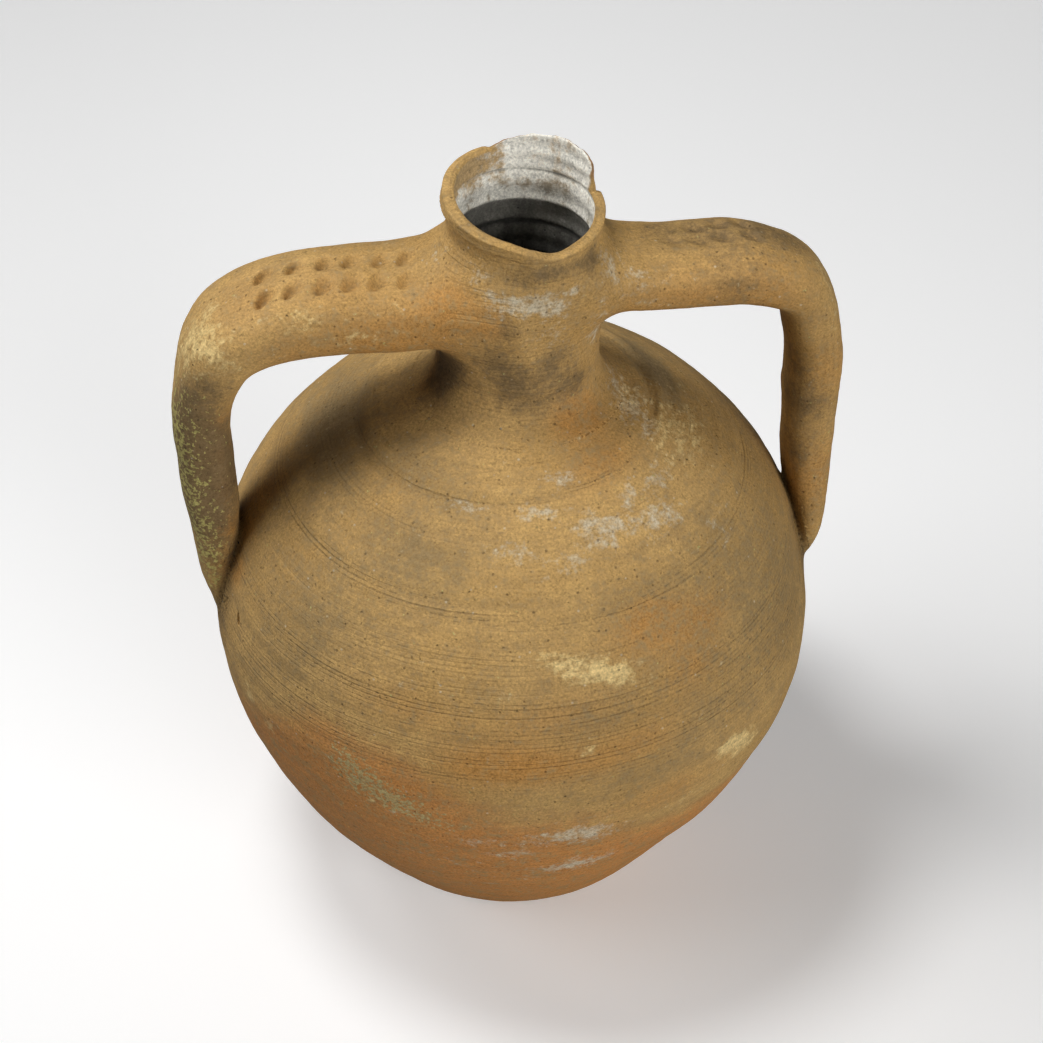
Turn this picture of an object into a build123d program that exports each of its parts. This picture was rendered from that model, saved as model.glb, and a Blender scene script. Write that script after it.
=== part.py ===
"""Two-handled earthenware amphora, hand thrown and coiled, in millimetres.

The pot is made the way the potter makes it: a flat base disc, a lower wall raised on it, a
shoulder dome joined to the wall at the belly by a scarf joint, a separately thrown neck
saddled on the dome around its opening, a lip coil on the slanted top of the neck, and two
strap handles luted to the neck and to the shoulder. Each is its own solid.

Frame: origin at the centre of the underside of the base, +Z up, handles along X and the
front towards -Y. The left handle is the one on the -X side.
"""

import os
from math import atan, cos, degrees, pi, sin

from build123d import *

# Body
BELLY_RADIUS = 165.0
BELLY_HEIGHT = 182.0
BASE_RADIUS = 84.0
FLANK_POWER = 1.8
DOME_RISE = 151.0
WALL = 8.0
BASE_THICKNESS = 10.0
BASE_EDGE_RADIUS = 3.0
FLANK_POINTS = 7
SCARF_RISE_PER_RUN = 1.0

# Neck: its axis leans a little towards the right handle
NECK_FOOT = (3.2, 0.0, 333.0)
NECK_TOP = (6.5, 0.0, 440.5)
BORE_RADIUS = 34.5
DOME_HOLE_RADIUS = 37.5
NECK_RADIUS_TOP = 37.6
NECK_RADIUS_LOW = 42.0
NECK_FLARE_RADIUS = 61.0
NECK_LOW_ABOVE_FOOT = 14.0
NECK_FLARE_BELOW_FOOT = 14.0
NECK_BLANK_TOP = 30.0

# Lip: the mouth plane falls towards the front right
MOUTH_SLOPE_X = -0.168
MOUTH_SLOPE_Y = 0.178
LIP_OUTER_RADIUS = 40.0
LIP_BLANK_INNER_RADIUS = 30.0
LIP_HEIGHT = 6.5
LIP_EDGE_RADIUS = 2.2

# At the back right the lip is broken off, and the bare wall behind it stands higher
BREAK_START = 12.0
BREAK_SWEEP = 103.0
BREAK_PEAK = 56.0
BREAK_SLOPE = 0.47
BREAK_DROP = 7.5

# Handles: each station is (reach from the axis, height, thickness, width)
LEFT_STATIONS = (
    (8, 393, 47, 74),
    (58, 389, 42.5, 66),
    (88, 390, 42, 63),
    (114, 389, 39, 62),
    (141, 378, 36, 59),
    (159, 340, 30, 46),
    (161.5, 295, 28.5, 41),
    (161, 258, 27, 42),
    (163, 220, 15, 40),
    (159, 190, 8, 34),
)
RIGHT_STATIONS = (
    (8, 407, 40, 68),
    (58, 395, 31.5, 60),
    (91, 392.5, 31, 56),
    (118, 391, 33, 54),
    (147, 378, 29, 50),
    (159.5, 345, 28, 43),
    (163.5, 299, 27.5, 38),
    (164, 258, 24, 40),
    (164, 214, 14.5, 48),
    (160, 190, 8, 36),
)
SECTION_POWER = 2.5
SECTION_POINTS = 16

# Finger dimples pressed in rows along the handle tops
DIMPLE_PITCH = 13.7
DIMPLE_BALL_RADIUS = 7.0
DIMPLE_DEPTH = 2.0
LEFT_BACK_ROW = (53.5, -6.0, 6)
LEFT_FRONT_ROW = (55.5, -23.0, 6)
RIGHT_BACK_ROW = (94.5, 5.0, 3)
RIGHT_FRONT_ROW = (81.5, -7.0, 4)

LEFT = -1
RIGHT = 1
CUTTER_REACH = 400.0


def flank_radius(height):
    """Outer radius of the lower wall, from the base up to the belly."""
    below_belly = (BELLY_HEIGHT - height) / BELLY_HEIGHT
    return BELLY_RADIUS - (BELLY_RADIUS - BASE_RADIUS) * below_belly**FLANK_POWER


def body_solid(inset, floor):
    """The body's full shape, shrunk by inset and standing on the given floor height."""
    heights = [floor + (BELLY_HEIGHT - floor) * i / (FLANK_POINTS - 1) for i in range(FLANK_POINTS)]
    flank = [(flank_radius(height) - inset, height) for height in heights]
    with BuildPart() as body:
        with BuildSketch(Plane.XZ):
            with BuildLine():
                Line((0, floor), flank[0])
                Spline(*flank, tangents=[_flank_direction(floor), (0, 1)])
                EllipticalCenterArc(
                    (0, BELLY_HEIGHT), BELLY_RADIUS - inset, DOME_RISE - inset, arc_size=90
                )
                Line((0, BELLY_HEIGHT + DOME_RISE - inset), (0, floor))
            make_face()
        revolve(axis=Axis.Z)
    return body.part


def _flank_direction(height):
    """Direction of the lower wall's outline at a height, pointing upwards."""
    below_belly = (BELLY_HEIGHT - height) / BELLY_HEIGHT
    spread = (BELLY_RADIUS - BASE_RADIUS) * FLANK_POWER / BELLY_HEIGHT
    return (spread * below_belly ** (FLANK_POWER - 1), 1)


def body_shell(outer):
    """Hollow pot wall with no base and an open dome."""
    hole = neck_cylinder(DOME_HOLE_RADIUS)
    slab = Pos(0, 0, BASE_THICKNESS / 2) * Box(CUTTER_REACH, CUTTER_REACH, BASE_THICKNESS)
    return outer - body_solid(WALL, BASE_THICKNESS) - slab - hole


def scarf_region():
    """Everything below the cone on which the lower wall and the dome are joined."""
    mid_radius = BELLY_RADIUS - WALL / 2
    edge_rise = (CUTTER_REACH / 2 - mid_radius) * SCARF_RISE_PER_RUN
    centre_height = BELLY_HEIGHT - mid_radius * SCARF_RISE_PER_RUN
    with BuildPart() as region:
        with BuildSketch(Plane.XZ):
            Polygon(
                (0, -WALL),
                (CUTTER_REACH / 2, -WALL),
                (CUTTER_REACH / 2, BELLY_HEIGHT + edge_rise),
                (0, centre_height),
                align=None,
            )
        revolve(axis=Axis.Z)
    return region.part


def base_disc(outer):
    """Flat clay pat, with its lower edge rounded, on which the wall is raised."""
    slab = Pos(0, 0, BASE_THICKNESS / 2) * Box(CUTTER_REACH, CUTTER_REACH, BASE_THICKNESS)
    disc = outer & slab
    foot_edge = disc.edges().filter_by(GeomType.CIRCLE).sort_by(Axis.Z)[0]
    return fillet(foot_edge, BASE_EDGE_RADIUS)


def neck_plane():
    """Plane across the neck at its foot, with its normal along the leaning axis."""
    lean = Vector(*NECK_TOP) - Vector(*NECK_FOOT)
    return Plane(origin=NECK_FOOT, x_dir=(0, 1, 0), z_dir=lean)


def neck_cylinder(radius):
    """Long cylinder on the neck's axis, through the dome and out of the mouth."""
    return neck_plane() * Cylinder(radius, CUTTER_REACH)


def neck_blank():
    """Solid neck with its flared foot, before it is bored, cut and seated."""
    neck_height = (Vector(*NECK_TOP) - Vector(*NECK_FOOT)).length
    low = (NECK_RADIUS_LOW, NECK_LOW_ABOVE_FOOT)
    flare = (NECK_FLARE_RADIUS, -NECK_FLARE_BELOW_FOOT)
    top = (NECK_RADIUS_TOP, neck_height)
    upper = (NECK_RADIUS_TOP, neck_height + NECK_BLANK_TOP)
    with BuildPart() as blank:
        with BuildSketch(Plane.XZ):
            with BuildLine():
                Line((0, flare[1]), flare)
                Line(low, top)
                TangentArc(low, flare, tangent=Vector(*low) - Vector(*top))
                Polyline(top, upper, (0, upper[1]), (0, flare[1]))
            make_face()
        revolve(axis=Axis.Z)
    return neck_plane() * blank.part


def mouth_plane(drop):
    """Slanted plane of the mouth, lowered by drop along its own normal."""
    normal = Vector(-MOUTH_SLOPE_X, -MOUTH_SLOPE_Y, 1).normalized()
    origin = Vector(*NECK_TOP) - normal * drop
    return Plane(origin=origin, x_dir=(1, 0, MOUTH_SLOPE_X), z_dir=normal)


def half_space():
    """Large block whose lower face is the plane it is placed on."""
    return Pos(0, 0, CUTTER_REACH / 2) * Box(CUTTER_REACH, CUTTER_REACH, CUTTER_REACH)


def break_sector():
    """Wedge around the mouth's centre, over the length where the lip is missing."""
    wedge = Cylinder(CUTTER_REACH / 4, CUTTER_REACH / 2, arc_size=BREAK_SWEEP, align=None)
    return mouth_plane(CUTTER_REACH / 4) * Rot(0, 0, BREAK_START) * wedge


def neck(outer):
    """Bored neck, seated on the dome, with its top cut for the lip and along the break."""
    broken_edge = mouth_plane(BREAK_DROP) * Rot(0, 0, BREAK_PEAK)
    broken_edge = broken_edge * Rot(0, -degrees(atan(BREAK_SLOPE)), 0)
    kept_wall = break_sector() - broken_edge * half_space()
    above = mouth_plane(LIP_HEIGHT) * half_space() - kept_wall
    return neck_blank() - outer - neck_cylinder(BORE_RADIUS) - above


def rim_band():
    """Lip coil on the slanted top of the neck, with a length of it broken away."""
    section_width = LIP_OUTER_RADIUS - LIP_BLANK_INNER_RADIUS
    section_middle = (LIP_OUTER_RADIUS + LIP_BLANK_INNER_RADIUS) / 2
    with BuildPart() as ring:
        with BuildSketch(Plane.XZ):
            with Locations((section_middle, LIP_HEIGHT / 2)):
                RectangleRounded(section_width, LIP_HEIGHT, LIP_EDGE_RADIUS)
        revolve(axis=Axis.Z)
    return mouth_plane(LIP_HEIGHT) * ring.part - neck_cylinder(BORE_RADIUS) - break_sector()


def strap_section(centre, direction, thickness, width):
    """Rounded oblong face across a handle, thickness in the handle's plane."""
    plane = Plane(origin=centre, x_dir=(0, 1, 0), z_dir=direction)
    points = []
    for i in range(SECTION_POINTS):
        angle = 2 * pi * i / SECTION_POINTS
        across = abs(cos(angle)) ** (2 / SECTION_POWER) * (1 if cos(angle) >= 0 else -1)
        through = abs(sin(angle)) ** (2 / SECTION_POWER) * (1 if sin(angle) >= 0 else -1)
        points.append((across * width / 2, through * thickness / 2))
    outline = Spline(*points, periodic=True)
    return plane * make_face(Wire([outline]))


def strap(side, stations):
    """Bent handle strap through its stations, from inside the neck to inside the body."""
    path = Spline(*[(side * reach, 0, height) for reach, height, _, _ in stations])
    sections = []
    for reach, height, thickness, width in stations:
        centre = Vector(side * reach, 0, height)
        direction = path.tangent_at(path.param_at_point(centre))
        sections.append(strap_section(centre, direction, thickness, width))
    return loft(sections)


def dimple_row(side, stations, row):
    """Balls that press one row of finger dimples into a handle top."""
    start, offset, count = row
    balls = []
    for i in range(count):
        reach = start + DIMPLE_PITCH * i
        rise = DIMPLE_BALL_RADIUS - DIMPLE_DEPTH
        top = strap_top(stations, reach, offset)
        balls.append(Pos(side * reach, offset, top + rise) * Sphere(DIMPLE_BALL_RADIUS))
    return balls


def strap_top(stations, reach, offset):
    """Height of a handle's upper surface at a reach and a sideways offset."""
    pairs = zip(stations, stations[1:])
    near, far = next(pair for pair in pairs if pair[0][0] <= reach <= pair[1][0])
    share = (reach - near[0]) / (far[0] - near[0])
    _, height, thickness, width = [a + (b - a) * share for a, b in zip(near, far)]
    fullness = 1 - abs(2 * offset / width) ** SECTION_POWER
    return height + thickness / 2 * fullness ** (1 / SECTION_POWER)


def handle(side, stations, rows, outer, neck_shape):
    """Dimpled strap, cut back to the neck and the body that it is luted to."""
    shape = strap(side, stations) - neck_shape - outer
    for row in rows:
        for ball in dimple_row(side, stations, row):
            shape = shape - ball
    return shape.solids().sort_by(SortBy.VOLUME)[-1]


def main():
    os.makedirs("parts", exist_ok=True)
    outer = body_solid(0, 0)
    shell = body_shell(outer)
    region = scarf_region()
    neck_shape = neck_blank()
    nodes = {
        "base_disc": base_disc(outer),
        "lower_body": shell & region,
        "upper_body": shell - region,
        "neck": neck(outer),
        "rim_band": rim_band(),
        "left_handle": handle(
            LEFT, LEFT_STATIONS, (LEFT_BACK_ROW, LEFT_FRONT_ROW), outer, neck_shape
        ),
        "right_handle": handle(
            RIGHT, RIGHT_STATIONS, (RIGHT_BACK_ROW, RIGHT_FRONT_ROW), outer, neck_shape
        ),
    }
    for name, shape in nodes.items():
        export_step(shape, "parts/" + name + ".step")


main()
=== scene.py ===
import math

import bpy
import numpy as np
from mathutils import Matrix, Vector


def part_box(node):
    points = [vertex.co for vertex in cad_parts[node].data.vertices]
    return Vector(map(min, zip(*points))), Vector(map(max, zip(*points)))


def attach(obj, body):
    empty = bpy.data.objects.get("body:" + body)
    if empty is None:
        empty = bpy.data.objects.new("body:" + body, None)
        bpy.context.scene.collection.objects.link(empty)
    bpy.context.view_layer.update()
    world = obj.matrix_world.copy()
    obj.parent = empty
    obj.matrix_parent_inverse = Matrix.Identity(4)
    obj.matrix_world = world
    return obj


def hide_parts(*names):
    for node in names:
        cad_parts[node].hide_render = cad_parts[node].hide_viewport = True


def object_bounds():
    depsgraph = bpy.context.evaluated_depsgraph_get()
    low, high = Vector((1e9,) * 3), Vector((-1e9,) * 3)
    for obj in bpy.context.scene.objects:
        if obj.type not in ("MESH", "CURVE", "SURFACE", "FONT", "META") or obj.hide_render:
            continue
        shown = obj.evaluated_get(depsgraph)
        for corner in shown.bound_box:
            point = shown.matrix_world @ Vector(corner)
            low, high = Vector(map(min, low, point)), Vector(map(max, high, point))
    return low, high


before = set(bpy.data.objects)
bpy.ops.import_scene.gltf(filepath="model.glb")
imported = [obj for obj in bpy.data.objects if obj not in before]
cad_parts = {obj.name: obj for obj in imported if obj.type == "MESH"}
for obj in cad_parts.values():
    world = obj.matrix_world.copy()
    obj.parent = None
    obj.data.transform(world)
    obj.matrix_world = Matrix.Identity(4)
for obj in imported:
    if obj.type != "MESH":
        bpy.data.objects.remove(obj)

import openvdb as vdb
from mathutils import Vector

CAD_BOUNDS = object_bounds()
MM = 0.001

# ---- Driving dimensions in millimetres. What a node's box tells is read from the frame.


def node_box(name):
    """Lowest and highest corner of a CAD node, in millimetres."""
    low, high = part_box(name)
    return np.array(low) / MM, np.array(high) / MM


BELLY_RADIUS = (node_box("lower_body")[1][0] - node_box("lower_body")[0][0]) / 2
BASE_THICKNESS = node_box("base_disc")[1][2]
WALL = 8.0
BELLY_HEIGHT = node_box("lower_body")[1][2] - WALL / 2
BASE_RADIUS = 84.0
FLANK_POWER = 1.8
DOME_RISE = 151.0
BASE_EDGE = 3.0

# Dents and swellings of the belly: amount, azimuth, half angle, height, half height
BULGES = (
    (-5.0, -62, 14, 66, 26),
    (2.2, -36, 20, 165, 34),
    (0.6, -163, 22, 190, 30),
    (-3.0, -18, 18, 216, 24),
    (-1.2, -138, 16, 142, 28),
)

NECK_FOOT = np.array((3.2, 0.0, 333.0))
NECK_TOP = np.array((6.3, 0.0, 439.5))
NECK_RADIUS_TOP = 37.6
NECK_RADIUS_LOW = 42.0
NECK_LOW = 14.0
NECK_ARC = 30.1
BORE_RADIUS = 34.5
DOME_HOLE_RADIUS = 37.5
THROWING_RIPPLE = 0.22
HOLLOW_ROUND = 6.0
BORE_REACH = 30.0
# Heights above which the neck, the mouth and the marks on them are worked out at all
NECK_SPACE_FROM = 290
MOUTH_SPACE_FROM = 405
BREAK_FROM = 400
DIMPLES_FROM = 370

# The mouth's plane falls to the right and rises to the back
MOUTH_SLOPE = (-0.168, 0.178)
MOUTH_EDGE = 1.0
LIP_RADIUS = 37.6
LIP_WIDTH = 6.2
LIP_HEIGHT = 6.5
LIP_ROUND = 0.8
LIP_THINNING = 1.0
BREAK_START, BREAK_END = 10.0, 113.0
BREAK_BASE, BREAK_SWING, BREAK_PEAK = -2.0, 17.4, 38
# Marks in the neck's bore, as distances along the neck: groove, ledge, groove
INSIDE_RINGS = (101.0, 83.5, 70.0)

# Handle stations: reach from the axis, height, thickness, width
STRAPS = {
    "left_handle": (
        (8, 393, 47, 74), (58, 388.3, 42.2, 66), (88, 389.4, 43.2, 63), (114, 387.6, 41.8, 62),
        (141, 377.2, 37.2, 59), (159, 340, 30, 46), (161.5, 295, 28.5, 41), (161, 258, 27, 42),
        (163, 220, 15, 40), (159, 190, 8, 34),
    ),
    "right_handle": (
        (8, 406, 40, 68), (58, 394, 31.5, 60), (91, 391.4, 31.2, 56), (118, 389.9, 33.2, 54),
        (147, 377, 29.4, 50), (159.2, 345, 28.8, 43), (163.2, 299, 28.2, 38),
        (164.2, 258, 24.6, 40), (165.4, 216, 15.5, 48), (160, 190, 8, 36),
    ),
}
SIDE = {"left_handle": -1, "right_handle": 1}
SECTION_POWER = 2.5
# Space in which the handles' fields are worked out, and the height from which roots are meant
STRAP_HALF_SPACE = 62
STRAP_SPACE_REACH = -57
STRAP_SPACE_FROM = 172
ROOTS_FROM = 340

# Finger dimples: handle, first reach, sideways offset, count, first and last depth
DIMPLE_STEEP = 4.8
DIMPLE_GENTLE = 8.8
DIMPLE_HALF = 7.2
DIMPLE_SLANT = 0.45
DIMPLE_FLAT = 0.15
DIMPLE_PITCH, DIMPLE_DRIFT = 13.0, 0.2
DIMPLE_SPACE = 14
DIMPLE_ROWS = (
    ("left_handle", 53.0, 1.5, 6, 3.3, 4.6),
    ("left_handle", 55.0, -14.0, 6, 3.2, 4.7),
    ("right_handle", 94.5, 10.0, 3, 2.2, 2.6),
    ("right_handle", 81.5, -1.0, 4, 1.7, 2.5),
)

# Cracks and creases by the handle feet and at the end of the broken lip: two ends, half width
CRACKS = (
    ((-158.2, -24.0, 220.0), (-159.6, -28.4, 210.4), 1.0),
    ((-153.0, -42.0, 222.5), (-153.2, -46.6, 217.2), 1.0),
    ((152.5, -43.5, 222.6), (161.5, -27.5, 231.0), 1.3),
    ((161.5, -27.5, 231.0), (171.0, -23.5, 244.0), 1.2),
    ((36.5, 13.5, 447.0), (42.0, 3.5, 436.5), 0.9),
)

# Joints between the visual pieces
SEAM_SINK = 1.0
NECK_SEAM_RADIUS = 56.0
NECK_FOOT_TOP = 20.0
HANDLE_SEAM_MARGIN = 0.5
FOOT_REACH = 6.0
ROOT_REACH = 46.0
COLUMN_SPREAD = 0.5
COLUMN_RISE = 20.0
LIP_SEAM_GAP = 0.3
NECK_FILLET = 12.0
ROOT_FILLET = 18.0
FOOT_FILLET = 3.0

VOXEL = {"base_disc": 1.5, "lower_body": 1.5, "upper_body": 1.5, "neck": 0.9, "rim_band": 0.6}
VOXEL |= dict.fromkeys(STRAPS, 1.0)
FAR_INSIDE = 50.0
BLOCK = 8
BAND = 4
BOX_MARGIN = np.array((12.0, 12.0, 6.0))
SETTLE_TURNS = 4
CORNER_SHARPNESS = 0.15
BLOCK_REACH = 1.15
CROSSING_MARGIN = 3
TINY = 1e-9


# ---- Small numeric helpers


def smooth_min(a, b, reach):
    blend = np.maximum(reach - np.abs(a - b), 0) / reach
    return np.minimum(a, b) - blend * blend * reach / 4


def smooth_max(a, b, reach):
    return -smooth_min(-a, -b, reach)


def smooth_step(value, low, high):
    share = np.clip((value - low) / (high - low), 0, 1)
    return share * share * (3 - 2 * share)


def angle_gap(angle, centre):
    """Degrees from centre to angle, between -180 and 180."""
    return (angle - centre + 180) % 360 - 180


def bump(value, centre, width):
    return np.exp(-(((value - centre) / width) ** 2))


def lattice_noise(points, size, seed):
    """Smooth value noise between -1 and 1 with the given cell size, the same on every run."""
    cell = points / size + 1000.5 + seed * 17.37
    base = np.floor(cell).astype(np.int64)
    part = cell - base
    part = part * part * (3 - 2 * part)
    total = np.zeros(len(points))
    for corner in range(8):
        step = np.array((corner & 1, corner >> 1 & 1, corner >> 2 & 1))
        key = (base + step).astype(np.uint64)
        mixed = key[:, 0] * 73856093 ^ key[:, 1] * 19349663 ^ key[:, 2] * 83492791
        mixed = (mixed ^ mixed >> np.uint64(13)) * np.uint64(1274126177)
        level = ((mixed ^ mixed >> np.uint64(16)) & np.uint64(65535)).astype(float) / 32767.5 - 1
        weight = np.where(step, part, 1 - part).prod(axis=1)
        total += level * weight
    return total


def layered_noise(points, size, layers, seed):
    total = np.zeros(len(points))
    strength = 1.0
    for layer in range(layers):
        total += lattice_noise(points, size / 2**layer, seed + layer) * strength
        strength *= 0.5
    return total / (2 - 2 * 0.5**layers)


# ---- Shape fields: distance to the clay in millimetres, negative inside it


def body_bulge(angle, height):
    """How far the hand-made belly departs from round, in millimetres."""
    wave = 0.8 * np.cos(np.radians(2 * angle - 40)) + 0.5 * np.cos(np.radians(3 * angle + 70))
    total = wave * bump(height, 170, 110)
    for amount, azimuth, spread, middle, rise in BULGES:
        beside = bump(angle_gap(angle, azimuth), 0, spread)
        total = total + amount * beside * bump(height, middle, rise)
    return total


def body_field(points):
    """Outside of the belly, dome and base, as if filled with clay."""
    x, y, z = points.T
    radius = np.hypot(x, y)
    radius = radius - body_bulge(np.degrees(np.arctan2(y, x)), z)
    below = np.clip((BELLY_HEIGHT - z) / BELLY_HEIGHT, 0, 1.2)
    spread = BELLY_RADIUS - BASE_RADIUS
    outline = BELLY_RADIUS - spread * below**FLANK_POWER
    slope = spread * FLANK_POWER / BELLY_HEIGHT * below ** (FLANK_POWER - 1)
    flank = (radius - outline) / np.sqrt(1 + slope * slope)
    up = np.maximum(z - BELLY_HEIGHT, 0)
    scaled = np.hypot(radius / BELLY_RADIUS, up / DOME_RISE)
    gradient = np.hypot(radius / BELLY_RADIUS**2, up / DOME_RISE**2)
    dome = scaled * (scaled - 1) / np.maximum(gradient, 1e-4)
    side = np.where(z < BELLY_HEIGHT, flank, dome)
    return smooth_max(side, -z, BASE_EDGE)


def neck_coordinates(points):
    """Distance along the leaning neck axis from its foot, and distance from that axis."""
    axis = (NECK_TOP - NECK_FOOT) / np.linalg.norm(NECK_TOP - NECK_FOOT)
    offset = points - NECK_FOOT
    along = offset @ axis
    away = np.linalg.norm(offset - along[:, None] * axis, axis=1)
    return along, away


def neck_field(along, away):
    """Outside of the neck and its flared foot, as if filled with clay."""
    length = np.linalg.norm(NECK_TOP - NECK_FOOT)
    share = (along - NECK_LOW) / (length - NECK_LOW)
    straight = NECK_RADIUS_LOW + (NECK_RADIUS_TOP - NECK_RADIUS_LOW) * share
    waist = -0.9 * bump(along, 78, 16)
    depth = np.clip(NECK_LOW - along, 0, NECK_ARC - 2)
    flare = NECK_ARC - np.sqrt(NECK_ARC**2 - depth**2)
    steep = depth / np.sqrt(NECK_ARC**2 - depth**2)
    return (away - np.maximum(straight, NECK_RADIUS_LOW - 6) - waist - flare) / np.sqrt(
        1 + steep * steep
    )


def mouth_frame(points):
    """Height above the slanted mouth plane, distance from its centre, and angle around it."""
    normal = np.array((-MOUTH_SLOPE[0], -MOUTH_SLOPE[1], 1.0))
    normal /= np.linalg.norm(normal)
    across = np.array((1.0, 0.0, MOUTH_SLOPE[0]))
    across /= np.linalg.norm(across)
    along = np.cross(normal, across)
    offset = points - NECK_TOP
    u, v = offset @ across, offset @ along
    return offset @ normal, np.hypot(u, v), np.degrees(np.arctan2(v, u)) % 360


def broken_share(angle):
    """1 where the lip is broken away, 0 along the sound lip."""
    return smooth_step(angle, 9, 21) * (1 - smooth_step(angle, 98, 116))


def lip_height(angle):
    """How far the hand-formed lip departs from its plane."""
    spout = -2.6 * bump(angle_gap(angle, 287), 0, 15)
    shoulder = 0.9 * bump(angle_gap(angle, 250), 0, 18)
    wave = 0.4 * np.cos(np.radians(3 * angle + 20))
    return spout + shoulder + wave


def mouth_top(points, height, distance, angle):
    """Signed height over the top of the neck wall: the lip, or the ragged break."""
    break_height = BREAK_BASE + BREAK_SWING * np.cos(np.radians(angle - BREAK_PEAK))
    ragged = 1.5 * layered_noise(points, 6.0, 4, 5)
    bevel = 0.9 * np.clip(distance - 35.0, 0, 12)
    broken = break_height + ragged - bevel
    share = broken_share(angle)
    return height - (lip_height(angle) * (1 - share) + broken * share)


def lip_field(height, distance, angle):
    """The flat-topped lip coil, thinning out where it is broken."""
    centre = height - lip_height(angle) + LIP_HEIGHT / 2
    thinned = LIP_THINNING * bump(angle_gap(angle, 122), 0, 32)
    across = np.abs(distance - LIP_RADIUS + thinned) - (LIP_WIDTH / 2 - LIP_ROUND)
    upright = np.abs(centre) - (LIP_HEIGHT / 2 - LIP_ROUND)
    outside = np.hypot(np.maximum(across, 0), np.maximum(upright, 0))
    fade = 6.0 * smooth_step(broken_share(angle), 0.0, 0.8)
    return outside + np.minimum(np.maximum(across, upright), 0) - LIP_ROUND + fade


def hermite_path(stations, count):
    """Evenly spread rows of a smooth curve through the stations."""
    knots = np.array(stations, float)
    gaps = np.linalg.norm(np.diff(knots[:, :2], axis=0), axis=1)
    place = np.concatenate(([0], np.cumsum(gaps)))
    slopes = np.gradient(knots, place, axis=0)
    at = np.linspace(0, place[-1], count)
    first = np.clip(np.searchsorted(place, at, side="right") - 1, 0, len(gaps) - 1)
    width = gaps[first]
    t = ((at - place[first]) / width)[:, None]
    start, end = knots[first], knots[first + 1]
    lead, trail = slopes[first] * width[:, None], slopes[first + 1] * width[:, None]
    return (
        start * (2 * t**3 - 3 * t**2 + 1)
        + lead * (t**3 - 2 * t**2 + t)
        + end * (3 * t**2 - 2 * t**3)
        + trail * (t**3 - t**2)
    )


class Strap:
    """One handle: a superellipse section carried along a curve in the plane of the handles."""

    ROWS = 140
    STEP = 1.0
    LOW = np.array((-60.0, 170.0))
    SHAPE = (260, 265)
    PARTS = 24

    def __init__(self, name):
        self.side = SIDE[name]
        path = hermite_path(STRAPS[name], self.ROWS)
        tangent = np.gradient(path[:, :2], axis=0)
        tangent /= np.linalg.norm(tangent, axis=1)[:, None]
        self.path = path
        grid = np.indices(self.SHAPE).reshape(2, -1).T * self.STEP + self.LOW
        nearest = np.empty(len(grid), int)
        for part in np.array_split(np.arange(len(grid)), self.PARTS):
            apart = grid[part, None, :] - path[None, :, :2]
            nearest[part] = (apart * apart).sum(axis=2).argmin(axis=1)
        offset = grid - path[nearest, :2]
        normal = np.stack((-tangent[:, 1], tangent[:, 0]), axis=1)[nearest]
        through = (offset * normal).sum(axis=1)
        beyond = (offset * tangent[nearest]).sum(axis=1)
        inner_rows = (nearest > 0) & (nearest < self.ROWS - 1)
        run = nearest + np.where(inner_rows, beyond / self.row_gap(), 0)
        over = np.where(nearest == self.ROWS - 1, beyond, -FAR_INSIDE)
        over = np.where(nearest == 0, -beyond, over)
        self.table = np.stack((through, run, over), axis=1).reshape(*self.SHAPE, 3)

    def row_gap(self):
        return np.linalg.norm(np.diff(self.path[:, :2], axis=0), axis=1).mean()

    def look_up(self, points):
        """Offset through the strap, row along it, and overrun past its ends."""
        place = np.stack((points[:, 0] * self.side, points[:, 2]), axis=1)
        place = (place - self.LOW) / self.STEP
        place = np.clip(place, 0, np.array(self.SHAPE) - 1.001)
        base = place.astype(int)
        part = place - base
        i, j = base.T
        a, b = part[:, :1], part[:, 1:]
        table = self.table
        return (
            table[i, j] * (1 - a) * (1 - b)
            + table[i + 1, j] * a * (1 - b)
            + table[i, j + 1] * (1 - a) * b
            + table[i + 1, j + 1] * a * b
        ).T

    def field(self, points):
        through, run, over = self.look_up(points)
        rows = np.arange(self.ROWS)
        half_thick = np.interp(run, rows, self.path[:, 2]) / 2
        half_wide = np.interp(run, rows, self.path[:, 3]) / 2
        across = np.abs(points[:, 1]) / half_wide
        round_sum = across**SECTION_POWER + (np.abs(through) / half_thick) ** SECTION_POWER
        fullness = round_sum ** (1 / SECTION_POWER)
        return np.maximum((fullness - 1) * half_thick, over)

    def top_height(self, reach, offset):
        """Height of the upper surface at a reach and a sideways offset."""
        heights = np.arange(450.0, 350.0, -0.25)
        line = np.column_stack(np.broadcast_arrays(self.side * reach, offset, heights))
        return heights[np.argmax(self.field(line) < 0)]


STRAP_SHAPES = {name: Strap(name) for name in STRAPS}


def dimple_centres(name):
    """Centre and depth of each finger dimple on a handle."""
    strap = STRAP_SHAPES[name]
    for handle, start, offset, count, first, last in DIMPLE_ROWS:
        if handle != name:
            continue
        for i in range(count):
            reach = start + DIMPLE_PITCH * i + DIMPLE_DRIFT * i * i
            depth = first + (last - first) * i / (count - 1)
            top = strap.top_height(reach, offset)
            uneven = 0.7 * math.sin(2.4 * i + start)
            yield np.array((strap.side * (reach + uneven), offset, top)), depth


DIMPLES = {name: list(dimple_centres(name)) for name in STRAPS}


def dimple_bowl(points, centre, side):
    """1 at the deepest point of a fingertip mark; it is steep on the side away from the neck."""
    across = points[:, 1] - centre[1]
    away = (points[:, 0] - centre[0]) * side + DIMPLE_SLANT * across
    reach = np.where(away > 0, DIMPLE_STEEP, DIMPLE_GENTLE)
    apart = np.hypot(away / reach, across / DIMPLE_HALF)
    return 1 - smooth_step(apart, DIMPLE_FLAT, 1.0)


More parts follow.
